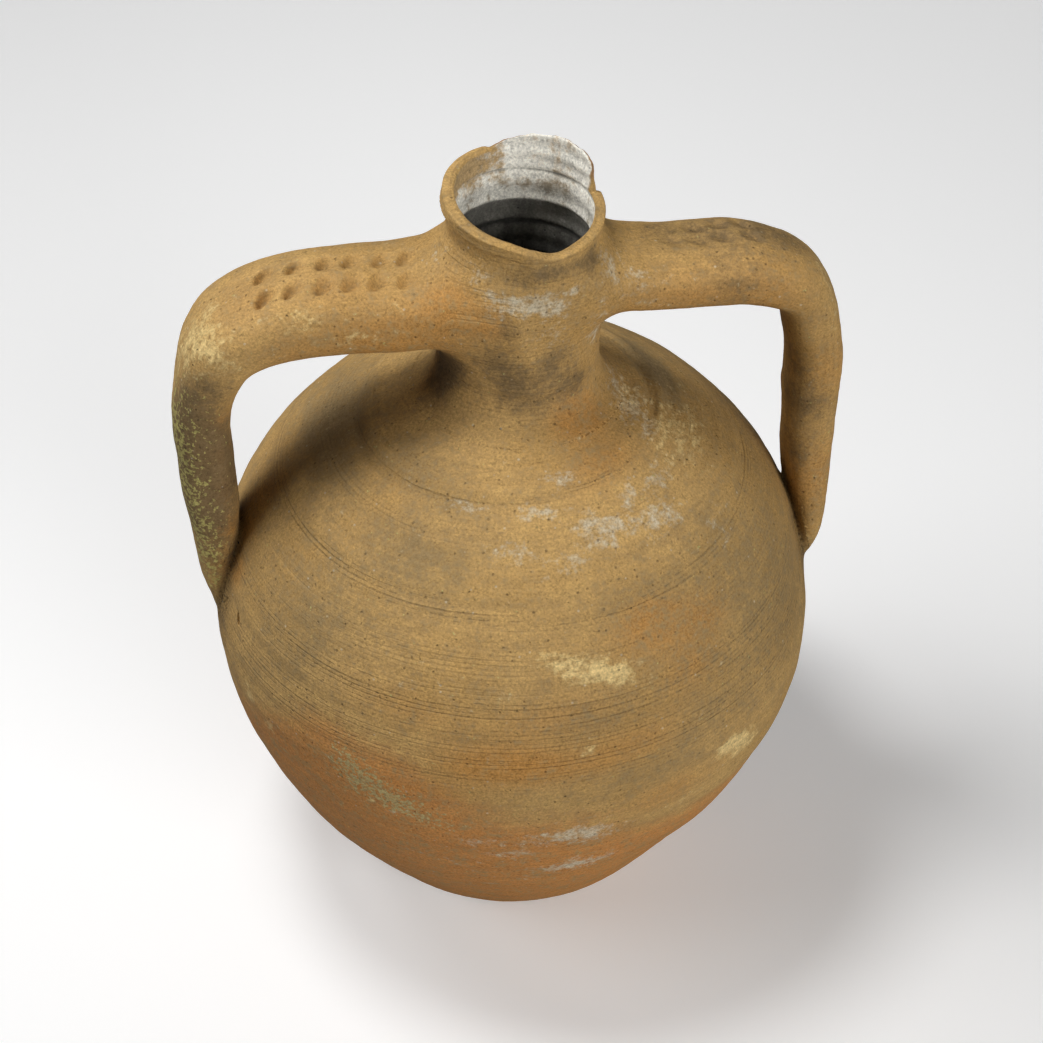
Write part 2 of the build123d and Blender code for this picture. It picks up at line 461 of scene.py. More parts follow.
def press_dimples(clay, points, name):
    for centre, depth in DIMPLES[name]:
        near = points[:, 2] > centre[2] - DIMPLE_SPACE
        clay[near] += depth * dimple_bowl(points[near], centre, SIDE[name])
    return clay


def dimple_dirt_and_shade(points):
    """1 on the steep side of the deeper fingertip marks: dirt that stays there, and painted shade
    on that steeper wall.
    """
    total = np.zeros(len(points))
    near = points[:, 2] > DIMPLES_FROM
    for name, side in SIDE.items():
        for centre, depth in DIMPLES[name]:
            spot = centre + (side * DIMPLE_STEEP * 0.45, 0, 0)
            total[near] += depth / 9 * dimple_bowl(points[near], spot, side)
    return total


def press_cracks(clay, points):
    for start, end, half in CRACKS:
        start, end = np.array(start), np.array(end)
        run = end - start
        offset = points - start
        share = np.clip(offset @ run / (run @ run), 0, 1)
        apart = np.linalg.norm(offset - share[:, None] * run, axis=1)
        clay = np.maximum(clay, half * (1.2 - np.abs(share - 0.5)) - apart)
    return clay


def outer_field(points):
    """The pot's outside without the lip, as if filled: body, neck and handles melted together."""
    along, away = neck_coordinates(points)
    whole = body_field(points)
    high = points[:, 2] > NECK_SPACE_FROM
    whole[high] = smooth_min(whole[high], neck_field(along[high], away[high]), NECK_FILLET)
    for name, strap in STRAP_SHAPES.items():
        near = np.abs(points[:, 1]) < STRAP_HALF_SPACE
        near &= points[:, 0] * strap.side > STRAP_SPACE_REACH
        near &= points[:, 2] > STRAP_SPACE_FROM
        spot = points[near]
        handle = strap.field(spot)
        fillet = np.where(spot[:, 2] > ROOTS_FROM, ROOT_FILLET, FOOT_FILLET)
        joined = smooth_min(whole[near], handle, fillet)
        whole[near] = press_dimples(joined, spot, name)
    return press_cracks(whole, points)


def hollow_field(points, along, away, body):
    """The inside of the pot: belly, opening in the dome and bored neck."""
    belly = smooth_max(body + WALL, BASE_THICKNESS - points[:, 2], HOLLOW_ROUND)
    ledge = smooth_step(along, -5.0, -2.5)
    radius = DOME_HOLE_RADIUS + (BORE_RADIUS - DOME_HOLE_RADIUS) * ledge
    ripple = np.sin(along / 1.5 + 0.9 * np.sin(along / 9)) * smooth_step(along, -BORE_REACH, 5)
    bore = np.maximum(away - radius - THROWING_RIPPLE * ripple, -BORE_REACH - along)
    return smooth_min(belly, bore, 3.0)


def clay_field(points):
    """The whole pot: negative inside the clay."""
    along, away = neck_coordinates(points)
    whole = outer_field(points)
    high = points[:, 2] > MOUTH_SPACE_FROM
    if high.any():
        spot = points[high]
        height, distance, angle = mouth_frame(spot)
        top = whole[high]
        top = smooth_min(top, lip_field(height, distance, angle), 1.6)
        top = smooth_max(top, mouth_top(spot, height, distance, angle), 0.8)
        whole[high] = top
    hollow = hollow_field(points, along, away, body_field(points))
    return smooth_max(whole, -hollow, MOUTH_EDGE)


# ---- Which part of the pot each piece is: negative inside the piece


def scarf(points):
    """Cone through the wall at the belly, negative below it."""
    radius = np.hypot(points[:, 0], points[:, 1])
    middle = BELLY_RADIUS - WALL / 2
    return (points[:, 2] - BELLY_HEIGHT - (radius - middle)) / math.sqrt(2)


def lip_region(points):
    height, _, _ = mouth_frame(points)
    normal_angles = np.radians((BREAK_START + 90, BREAK_END + 90))
    offset = points[:, :2] - NECK_TOP[:2]
    sides = [offset @ np.array((math.cos(a), math.sin(a))) for a in normal_angles]
    outside_break = np.minimum(sides[0], -sides[1])
    return np.maximum(-(height + LIP_HEIGHT + LIP_SEAM_GAP), outside_break)


def base_region(points):
    return points[:, 2] - BASE_THICKNESS


def lower_region(points):
    return np.maximum(BASE_THICKNESS - points[:, 2], scarf(points))


def foot_columns(points):
    """Upright limits around the neck's foot and the handles' feet, negative inside them."""
    _, away = neck_coordinates(points)
    column = away - NECK_SEAM_RADIUS
    lifted = np.clip(body_field(points) - FOOT_REACH, 0, COLUMN_RISE)
    margin = HANDLE_SEAM_MARGIN + COLUMN_SPREAD * lifted
    for strap in STRAP_SHAPES.values():
        near = points[:, 0] * strap.side > 0
        column[near] = np.minimum(column[near], strap.field(points[near]) - margin[near])
    return column


def above_body(points):
    """Negative in the clay that was luted on to the body, a little sunk into it."""
    return np.maximum(-SEAM_SINK - body_field(points), foot_columns(points))


def upper_region(points):
    return np.maximum(-scarf(points), -above_body(points))


def neck_foot_zone(points):
    """Negative around the neck below the handle roots."""
    along, away = neck_coordinates(points)
    return np.maximum(away - NECK_SEAM_RADIUS - 6, along - NECK_FOOT_TOP)


def neck_region(points):
    between = np.abs(points[:, 0] - NECK_FOOT[0]) - ROOT_REACH
    between = np.minimum(between, neck_foot_zone(points))
    return np.maximum(np.maximum(above_body(points), between), -lip_region(points))


def handle_region(side):
    def region(points):
        beside = ROOT_REACH - side * (points[:, 0] - NECK_FOOT[0])
        beside = np.maximum(beside, -neck_foot_zone(points))
        return np.maximum(above_body(points), beside)

    return region


REGIONS = {
    "base_disc": base_region,
    "lower_body": lower_region,
    "upper_body": upper_region,
    "neck": neck_region,
    "rim_band": lip_region,
    "left_handle": handle_region(-1),
    "right_handle": handle_region(1),
}


# ---- From a field to a closed mesh


def in_chunks(field, points, size=1500000):
    count = max(1, math.ceil(len(points) / size))
    return np.concatenate([field(part) for part in np.array_split(points, count)])


def fill_volume(field, low, blocks, step):
    """Field values on a grid, worked out only in the blocks that the surface may cross."""
    centres = (np.indices(blocks).reshape(3, -1).T + 0.5) * BLOCK * step + low
    rough = in_chunks(field, centres)
    volume = np.empty((blocks[0], BLOCK, blocks[1], BLOCK, blocks[2], BLOCK), np.float32)
    far = np.where(rough < 0, -1.0, 1.0).reshape(blocks) * step * BAND
    volume[:] = far[:, None, :, None, :, None]
    crossed = np.flatnonzero(np.abs(rough) < BLOCK * step * BLOCK_REACH + CROSSING_MARGIN)
    inside = np.indices((BLOCK,) * 3).reshape(3, -1).T * step
    for part in np.array_split(crossed, max(1, len(crossed) // 2500)):
        index = np.array(np.unravel_index(part, blocks)).T
        points = (index[:, None, :] * BLOCK * step + inside[None]).reshape(-1, 3) + low
        values = field(points).reshape(-1, BLOCK, BLOCK, BLOCK)
        volume[index[:, 0], :, index[:, 1], :, index[:, 2], :] = values
    return volume.reshape([n * BLOCK for n in blocks])


def gradient_of(field, points, values, step=0.25):
    parts = []
    for axis in range(3):
        shifted = points.copy()
        shifted[:, axis] += step
        parts.append((in_chunks(field, shifted) - values) / step)
    return np.stack(parts, axis=1)


def settle(points, region, step):
    """Move mesh points on to the clay surface, the joint face, or the edge where they meet.

    After two turns only the points on such an edge move on.
    """
    todo = np.arange(len(points))
    for turn in range(SETTLE_TURNS):
        spot = points[todo]
        clay, cut = in_chunks(clay_field, spot), in_chunks(region, spot)
        clay_slope = gradient_of(clay_field, spot, clay)
        cut_slope = gradient_of(region, spot, cut)
        cc = (clay_slope**2).sum(axis=1) + TINY
        gg = (cut_slope**2).sum(axis=1) + TINY
        cg = (clay_slope * cut_slope).sum(axis=1)
        det = cc * gg - cg * cg
        corner = (np.abs(clay) < step) & (np.abs(cut) < step) & (det > CORNER_SHARPNESS * cc * gg)
        on_clay = ~corner & (clay >= cut)
        on_cut = ~corner & (clay < cut)
        det = np.maximum(det, TINY)
        clay_move = np.where(on_clay, -clay / cc, 0)
        clay_move = np.where(corner, (-clay * gg + cut * cg) / det, clay_move)
        cut_move = np.where(on_cut, -cut / gg, 0)
        cut_move = np.where(corner, (-cut * cc + clay * cg) / det, cut_move)
        move = clay_move[:, None] * clay_slope + cut_move[:, None] * cut_slope
        length = np.linalg.norm(move, axis=1)[:, None]
        points[todo] = spot + move * np.minimum(1, step / np.maximum(length, TINY))
        if turn > 0:
            todo = todo[corner]
    slope = gradient_of(clay_field, points, in_chunks(clay_field, points))
    slope /= np.linalg.norm(slope, axis=1)[:, None] + TINY
    return points, slope


def shape_piece(name):
    """Points, faces, outward directions and joint-face flags of one piece, in millimetres."""
    region = REGIONS[name]
    step = VOXEL[name] * 1
    low, high = node_box(name)
    low, high = low - BOX_MARGIN, high + BOX_MARGIN
    blocks = tuple(int(n) for n in np.ceil((high - low) / (step * BLOCK)))

    def field(points):
        return np.maximum(clay_field(points), region(points))

    volume = fill_volume(field, low, blocks, step)
    grid = vdb.FloatGrid(step * BAND)
    grid.copyFromArray(volume)
    points, quads = grid.convertToQuads(isovalue=0.0)
    points = points.astype(float) * step + low
    points, slope = settle(points, region, step)
    centres = points[quads].mean(axis=1)
    joint_face = in_chunks(region, centres) > in_chunks(clay_field, centres)
    return points, quads, slope, joint_face


# ---- Surface relief: what the wheel, the fingers and the years left on the clay


class Place:
    """Where each point lies on the pot, and its coordinates along the potter's strokes."""

    def __init__(self, points):
        self.points = points
        x, y, z = points.T
        self.radius = np.hypot(x, y)
        self.angle = np.degrees(np.arctan2(y, x))
        self.along, away = neck_coordinates(points)
        body = in_chunks(body_field, points)
        hollow = hollow_field(points, self.along, away, body)
        self.mouth_height, self.mouth_distance, self.mouth_angle = mouth_frame(points)
        self.inner = smooth_step(-np.abs(hollow), -1.6, -0.3)
        on_body = 1 - smooth_step(body, 1.0, 7.0)
        beside = smooth_step(np.abs(x - NECK_FOOT[0]), 38, 56)
        self.body = on_body * (1 - self.inner)
        self.handle = (1 - on_body) * beside * (1 - self.inner)
        self.neck = (1 - on_body) * (1 - beside) * (1 - self.inner)
        self.climb = self.climbed(z)
        self.run, self.through, self.crevice_shade = np.zeros((3, len(points)))
        for strap in STRAP_SHAPES.values():
            near = x * strap.side > 0
            through, run, _ = strap.look_up(points[near])
            self.through[near], self.run[near] = through, run * strap.row_gap()
            apart = strap.field(points[near])
            # Painted shade where the handles meet the body
            self.crevice_shade[near] = bump(body[near], 0, 4.0) * bump(apart, 0, 4.0)

    def climbed(self, z):
        """Way up the outline of the belly from its widest ring, in millimetres."""
        up = np.maximum(z - BELLY_HEIGHT, 0) / DOME_RISE
        turn = np.arctan2(up, self.radius / BELLY_RADIUS)
        dome = turn * (BELLY_RADIUS + DOME_RISE) / 2
        return np.where(z > BELLY_HEIGHT, dome, (z - BELLY_HEIGHT) * 1.04)

    def sweep(self):
        """Two slow coordinates along the strokes and one across them, in millimetres."""
        x, y, _ = self.points.T
        drift = 1.6 * lattice_noise(self.points, 80.0, 3)
        around = np.stack((x, y), axis=1) / np.maximum(self.radius, 1)[:, None]
        climb = self.climb + drift
        turned = np.column_stack((around * 110, climb))
        neck = np.column_stack((around * 60, self.along + 250 + drift))
        pulled = np.column_stack((self.run, self.run * 0, self.points[:, 1] + self.through + 400))
        handle = self.handle[:, None]
        body = (self.body + self.inner)[:, None]
        return turned * body + neck * (1 - body - handle) + pulled * handle


def ring_height(place):
    """The groove left where the dome was closed, as a way up the outline."""
    return 171 + 6 * np.sin(np.radians(place.angle + 60))


# Throwing rings on the belly: height, length, and how far and how slowly their spacing drifts
WHEEL_WAVES = ((0.10, 1.9, 1.4, 17), (0.13, 4.3, 2.0, 31), (0.22, 9.5, 1.1, 40))


def relief(place):
    """Outward displacement in millimetres."""
    points, climb = place.points, place.climb
    drift = 2.0 * lattice_noise(points, 80.0, 3)
    climb = climb + drift
    wheel = np.zeros(len(points))
    for strength, length, drifting, drift_length in WHEEL_WAVES:
        phase = climb / length + drifting * np.sin(climb / drift_length)
        wheel += strength * np.sin(phase)
    wheel -= 0.8 * bump(climb, ring_height(place), 2.6)
    wheel += 0.5 * bump(climb, ring_height(place) + 7, 4.0)
    wheel -= 0.45 * bump(climb, 113, 2.4)
    inside_rings = 0.2 * np.sin(points[:, 2] / 2.6 + 1.5 * np.sin(points[:, 2] / 23))
    inside_rings -= 0.7 * bump(place.along, INSIDE_RINGS[0], 1.3)
    inside_rings -= 0.6 * bump(place.along, INSIDE_RINGS[2], 1.5)
    below_ledge = smooth_step(-place.along, -INSIDE_RINGS[1] - 0.7, -INSIDE_RINGS[1] + 0.7)
    inside_rings -= 1.1 * below_ledge * smooth_step(place.along, 50, 78)
    collar = 0.14 * np.sin(place.along / 1.5 + drift) + 0.25 * np.sin(place.along / 3.9 + drift)
    drag = 0.30 * layered_noise(points * (0.35, 1.0, 0.5), 5.0, 2, 11)
    lumps = layered_noise(points, 26.0, 2, 21)
    grit = 0.10 * layered_noise(points, 3.2, 2, 31)
    strokes = place.body * wheel + place.neck * collar + place.handle * (drag + lumps * 0.8)
    return strokes + place.inner * inside_rings + lumps * 0.3 + grit


# ---- What stains and deposits lie where, and where shade and light are painted in

# Patches on the belly and dome: azimuth in degrees, height, half length around, half height, share
# Lime patches; the first two, right of the neck, are real lime made larger and stronger as painted
# light over the right handle's shadow there.
LIME_AND_LIGHT = (
    (-22, 310, 26, 20, 1.1), (8, 306, 30, 12, 0.6), (-17, 323, 13, 9, 1.0),
    (-92, 263, 9, 7, 0.9), (-86, 256, 12, 8, 1.3), (-81, 253, 8, 7, 1.2),
    (-77, 250, 10, 7, 1.2), (-72, 240, 8, 6, 0.5), (-85, 214, 8, 5, 1.2),
    (-54, 176, 16, 8, 1.5), (-50, 166, 14, 7, 1.2), (-64, 150, 16, 6, 0.7),
    (-156, 188, 7, 12, 1.1), (-150, 180, 6, 10, 1.0), (-125, 167, 4, 3, 0.9),
    (-101, 243, 6, 4, 0.5), (120, 150, 26, 14, 0.9), (70, 230, 20, 10, 0.8),
    (35, 190, 14, 10, 0.8),
)
CHALK = (
    (-22, 322, 14, 12, 1.1), (-8, 326, 10, 9, 0.9), (-30, 316, 10, 6, 0.9),
    (-59, 309, 8, 8, 1.0), (-51, 297, 12, 7, 0.9), (-45, 308, 14, 8, 0.8),
    (-79, 318, 10, 6, 0.8), (-91, 311, 12, 5, 1.2), (-75, 306, 12, 6, 1.1),
    (-70, 301, 14, 7, 1.1), (-58, 300, 12, 7, 0.9), (-115, 312, 14, 6, 0.8),
    (-84, 295, 16, 8, 0.8), (-98, 300, 16, 9, 0.6), (-38, 282, 16, 10, 0.6),
    (-90, 151, 26, 7, 0.9), (-99, 134, 20, 8, 1.0), (-105, 148, 16, 6, 0.9),
    (-86, 112, 30, 9, 1.2), (-111, 118, 26, 9, 0.4), (-84, 148, 18, 10, 0.9),
    (-101, 95, 40, 10, 0.4), (-121, 162, 6, 3, 1.0), (60, 300, 26, 16, 0.8),
    (150, 120, 40, 12, 0.8), (95, 90, 50, 12, 0.8), (15, 110, 40, 12, 0.7),
)
FILM = (
    (-137, 318, 22, 14, 1.3), (-121, 310, 16, 8, 0.9), (-112, 298, 16, 8, 0.7),
    (-140, 262, 34, 26, 0.9), (-147, 235, 30, 26, 0.8), (-121, 288, 24, 13, 1.1),
    (-66, 278, 28, 9, 0.8), (-40, 262, 50, 40, 0.9), (-30, 225, 46, 40, 0.8),
    (-82, 232, 24, 10, 0.8), (-104, 221, 20, 8, 0.6), (-75, 190, 34, 12, 0.8),
    (-60, 205, 30, 20, 0.6), (175, 306, 50, 26, 2.6), (-129, 297, 20, 11, 1.2),
    (16, 314, 26, 13, 3.0), (2, 312, 22, 9, 1.4), (-100, 214, 34, 14, -0.9),
    (-78, 208, 30, 14, -0.6), (40, 270, 70, 40, 0.7), (130, 250, 60, 40, 0.8),
    (80, 170, 60, 30, 0.7),
)
ORANGE = (
    (-55, 258, 16, 11, 0.9), (-68, 270, 16, 10, 0.9), (-101, 212, 34, 13, 0.9),
    (-76, 212, 30, 13, 0.7), (-67, 262, 26, 14, 0.9), (-62, 240, 20, 14, 0.8),
    (-90, 235, 40, 10, 0.6), (-95, 205, 60, 10, 0.7), (-118, 235, 30, 12, 0.5),
    (-60, 318, 22, 10, 0.9), (-70, 165, 30, 14, 0.6), (-115, 186, 30, 12, 0.8),
    (60, 220, 60, 30, 0.7), (160, 210, 50, 30, 0.6),
)
GREEN = (
    (-129, 184, 14, 14, 1.0), (-123, 178, 22, 14, 0.9), (-118, 170, 24, 12, 0.8),
    (-130, 196, 12, 8, 0.6), (-112, 160, 22, 10, 0.5), (100, 120, 40, 20, 0.7),
)

# Patches on the neck and handles: centre and half size
NECK_CHALK = (
    (-20, -29, 417, 9, 0.7), (-32, -10, 411, 10, 0.7), (18, -37, 392, 8, 0.6),
    (-15, -41, 406, 7, 0.9), (-5, -42, 406, 7, 1.2), (6, -43, 405, 7, 1.3),
    (16, -42, 403, 7, 1.2), (25, -38, 410, 6, 0.7), (40, -22, 372, 9, 1.0),
    (34, -30, 386, 9, 0.8), (44, -24, 398, 11, 0.7), (42, -20, 414, 10, 0.7),
    (9, -42, 382, 9, 0.6), (-34, -30, 423, 6, 0.9), (62, -28, 398, 12, 0.5),
)
# Soot on the neck and handles, with painted shade: the spots in the hollow under the left handle
# root and on the inner faces of both limbs paint shadow, and those down the left limb's front are
# soot and painted shade.
NECK_SOOT_AND_SHADE = (
    (9, -41, 421, 8, 0.9), (-3, -39, 419, 8, 0.8), (20, -38, 422, 8, 0.8),
    (33, -31, 419, 9, 0.8), (-18, -38, 415, 8, 0.5), (16, -39, 369, 11, 0.9),
    (-5, -41, 360, 12, 0.9), (-17, -38, 372, 10, 0.7), (-30, -30, 356, 12, 0.7),
    (-12, -46, 345, 14, 0.7), (26, -34, 352, 12, 0.6), (28, -34, 388, 8, 0.7),
    (-42, -12, 340, 16, 1.2), (-120, -28, 386, 14, 0.4), (108, -28, 396, 20, 0.8),
    (-8, -43, 393, 9, 0.9), (10, -42, 347, 14, 0.7), (30, -33, 350, 11, 0.5),
    (34, -25, 420, 9, 0.7), (-12, -37, 377, 14, 0.4), (-36, 2, 444, 16, 0.42),
    (-26, -24, 440, 16, 0.42), (-33, -18, 365, 9, 1.0), (-36, -13, 352, 9, 1.8),
    (-152, -26, 362, 14, 0.8), (-166, -16, 350, 18, 1.0), (-166, -16, 325, 18, 1.9),
    (-166, -16, 295, 20, 1.4), (-166, -18, 266, 18, 1.2), (-164, -20, 240, 16, 0.8),
    (-150, -6, 300, 28, 0.8), (152, -10, 335, 16, 0.8), (152, -10, 305, 16, 0.8),
    (153, -10, 270, 16, 0.9), (162, -18, 308, 14, 0.3), (154, -30, 232, 10, 1.0),
    (176, 0, 300, 26, 0.5), (95, 8, 409, 20, 0.7), (125, 8, 409, 24, 0.8),
    (150, 6, 400, 20, 0.8), (70, 10, 411, 16, 0.7), (0, 42, 380, 30, 0.8),
)
HANDLE_ORANGE = (
    (-35, -32, 402, 14, 1.1), (-17, -41, 395, 11, 0.9), (-56, -34, 380, 24, 1.2),
    (-84, -32, 380, 18, 0.9), (-112, -30, 380, 16, 0.6), (-90, -14, 408, 20, 0.4),
    (-136, -8, 402, 20, 0.4), (56, -30, 384, 22, 0.6), (88, -28, 386, 22, 0.7),
    (126, -24, 384, 24, 0.8), (168, -18, 330, 24, 0.7), (170, -16, 256, 26, 0.9),
    (-152, -19, 335, 10, 1.0), (-151, -19, 312, 10, 1.3), (-151, -20, 288, 10, 1.3),
    (-152, -20, 262, 10, 1.3), (-152, -24, 238, 10, 1.2), (33, -38, 332, 14, 1.1),
    (22, -44, 332, 12, 0.9), (20, 44, 350, 34, 0.8),
)
HANDLE_PALE = (
    (-160, -14, 388, 17, 1.2), (-148, -26, 380, 14, 0.8), (-172, 0, 366, 18, 0.9),
    (-110, -28, 396, 14, 0.7), (-82, -32, 388, 12, 0.6), (-60, -34, 400, 12, 0.5),
    (-177, -6, 338, 14, 0.5), (160, -10, 384, 16, 0.8), (172, -8, 352, 14, 0.6),
    (110, -26, 392, 18, 0.2),
)
LICHEN = (
    (-171, -14, 345, 18, 0.8), (-174, -13, 318, 16, 1.0), (-173, -14, 292, 16, 1.1),
    (-170, -16, 266, 15, 1.1), (-168, -18, 244, 14, 1.0), (-166, -20, 224, 12, 0.8),
    (-172, 10, 330, 26, 0.6), (176, -10, 320, 18, 0.5), (175, -12, 250, 20, 0.4),
)


def belly_point(azimuth, height):
    """A point on the belly or dome at an azimuth in degrees."""
    if height > BELLY_HEIGHT:
        radius = BELLY_RADIUS * math.sqrt(1 - ((height - BELLY_HEIGHT) / DOME_RISE) ** 2)
    else:
        below = (BELLY_HEIGHT - height) / BELLY_HEIGHT
        radius = BELLY_RADIUS - (BELLY_RADIUS - BASE_RADIUS) * below**FLANK_POWER
    turn = math.radians(azimuth)
    return np.array((radius * math.cos(turn), radius * math.sin(turn), height))


def belly_patches(points, patches):
    """Sum of soft patches that are drawn out around the belly."""
    total = np.zeros(len(points))
    for azimuth, height, long, tall, share in patches:
        offset = points - belly_point(azimuth, height)
        turn = math.radians(azimuth)
        around = offset[:, 0] * -math.sin(turn) + offset[:, 1] * math.cos(turn)
        rest = (offset * offset).sum(axis=1) - around * around
        total += share * np.exp(-((around / long) ** 2) - rest / tall**2)
    return total


def round_patches(points, patches):
    total = np.zeros(len(points))
    for x, y, z, size, share in patches:
        offset = points - (x, y, z)
        total += share * np.exp(-(offset * offset).sum(axis=1) / size**2)
    return total


def red_share(place):
    """The redder, harder fired foot of the pot, highest on the left of the front."""
    left = bump(angle_gap(place.angle, -135), 0, 32)
    boundary = 142 + 56 * left + 14 * np.sin(np.radians(2 * place.angle - 40))
    boundary = boundary + 16 * layered_noise(place.points * (0.4, 0.4, 1.0), 20.0, 3, 41)
    return smooth_step(boundary - place.points[:, 2], -26, 26)


def comb_share(place):
    """Bands where a comb or a rag left fine lines."""
    wander = 3 * np.sin(np.radians(place.angle * 2 + 30))
    bands = 1.2 * bump(place.climb, 110 + wander, 5) + 1.0 * bump(place.climb, 60 + wander, 11)
    bands = bands + 1.0 * bump(place.climb, 28, 18) + 0.6 * bump(place.climb, 150 - wander, 6)
    bands = bands + 0.5 * bump(place.climb, 88, 12)
    bands = bands + 0.9 * bump(place.climb, ring_height(place), 2.2)
    return np.clip(bands, 0, 1) * place.body + 0.5 * place.neck


def mouth_marks(place):
    """Masks in and around the mouth: lime, soot with painted shade deeper in the neck, the brown
    stain and the broken edge.
    """
    depth = -place.mouth_height
    across = np.cos(np.radians(place.mouth_angle - 60))
    broken = broken_share(place.mouth_angle)
    over = mouth_top(place.points, place.mouth_height, place.mouth_distance, place.mouth_angle)
    edge = smooth_step(over, -1.8, -0.4) * broken * (place.points[:, 2] > BREAK_FROM)
    rings = 0.35 * bump(place.along, INSIDE_RINGS[0], 0.8) * smooth_step(across, -0.2, 0.6)
    rings += 0.5 * bump(place.along, INSIDE_RINGS[2], 1.2)
    # Painted shade inside the neck, over real soot: darker below the ledge, further down and in the
    # grooves
    shade = 0.62 * smooth_step(-place.along, -INSIDE_RINGS[1] - 1.5, -INSIDE_RINGS[1] + 1.5)
    shade = shade + 0.35 * smooth_step(-place.along, -76, -50) + rings
    shade = shade + 0.25 * bump(place.along, 91, 7)
    limed = np.maximum(smooth_step(depth + lip_height(place.mouth_angle), 0.2, 2.6), broken)
    brown_side = bump(angle_gap(place.mouth_angle, 140), 0, 42) * bump(depth, 5, 16)
    brown_side = brown_side + 0.45 * bump(across, 0.95, 0.2) * bump(place.along, 93, 5)
    return {
        "inner": place.inner * limed,
        "soot_and_shade": place.inner * shade,
        "brown": place.inner * brown_side,
        "broken": edge,
    }


def deposits(place):
    """Every mask that the clay's material reads, by name."""
    points = place.points
    outer = 1 - place.inner
    masks = mouth_marks(place)
    # Soot spots and dimple dirt, both partly painted shade
    stains_and_shade = round_patches(points, NECK_SOOT_AND_SHADE) + dimple_dirt_and_shade(points)
    warm = belly_patches(points, ORANGE) + round_patches(points, HANDLE_ORANGE)
    # Lime and pale wear, with painted light from the lime right of the neck
    pale = belly_patches(points, LIME_AND_LIGHT) + 0.9 * round_patches(points, HANDLE_PALE)
    return masks | {
        "soot_and_shade": masks["soot_and_shade"] + outer * stains_and_shade,
        "lime_and_light": outer * pale,
        "chalk": outer * (belly_patches(points, CHALK) + round_patches(points, NECK_CHALK)),
        "film": outer * belly_patches(points, FILM) * place.body,
        "orange": outer * warm,
        "green": outer * belly_patches(points, GREEN),
        "lichen": outer * round_patches(points, LICHEN) * place.handle,
        "red": outer * red_share(place),
        "comb": comb_share(place),
        "crevice_shade": place.crevice_shade,
    }


# ---- Meshes


def build_mesh(name, points, quads, joint_face):
    mesh = bpy.data.meshes.new(name)
    mesh.vertices.add(len(points))
    mesh.vertices.foreach_set("co", (points * MM).astype(np.float32).ravel())
    mesh.loops.add(quads.size)
    mesh.loops.foreach_set("vertex_index", quads.astype(np.int32).ravel())
    mesh.polygons.add(len(quads))
    mesh.polygons.foreach_set("loop_start", np.arange(0, quads.size, 4, dtype=np.int32))
    mesh.update(calc_edges=True)
    mesh.validate()
    mesh.polygons.foreach_set("use_smooth", np.ones(len(mesh.polygons), bool))
    edge_of_loop = np.empty(len(mesh.loops), np.int32)
    mesh.loops.foreach_get("edge_index", edge_of_loop)
    if len(mesh.polygons) == len(joint_face):
        flags = np.repeat(joint_face, 4).astype(int)
        joint_count = np.bincount(edge_of_loop, weights=flags, minlength=len(mesh.edges))
        mesh.edges.foreach_set("use_edge_sharp", joint_count == 1)
    mesh.update()
    return mesh


def store(mesh, name, values):
    layer = mesh.attributes.new(name, "FLOAT", "POINT")
    layer.data.foreach_set("value", values.astype(np.float32))


def make_piece(name, material):
    points, quads, slope, joint_face = shape_piece(name)
    place = Place(points)
    points = points + slope * relief(place)[:, None]
    points[:, 2] = np.maximum(points[:, 2], 0)
    mesh = build_mesh(name, points, quads, joint_face)
    for mask, values in deposits(place).items():
        store(mesh, mask, values)
    sweep = mesh.attributes.new("sweep", "FLOAT_VECTOR", "POINT")
    sweep.data.foreach_set("vector", place.sweep().astype(np.float32).ravel())
    piece = bpy.data.objects.new("visual_" + name, mesh)
    bpy.context.scene.collection.objects.link(piece)
    mesh.materials.append(material)
    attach(piece, "root")
    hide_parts(name)
    return piece


# ---- Materials


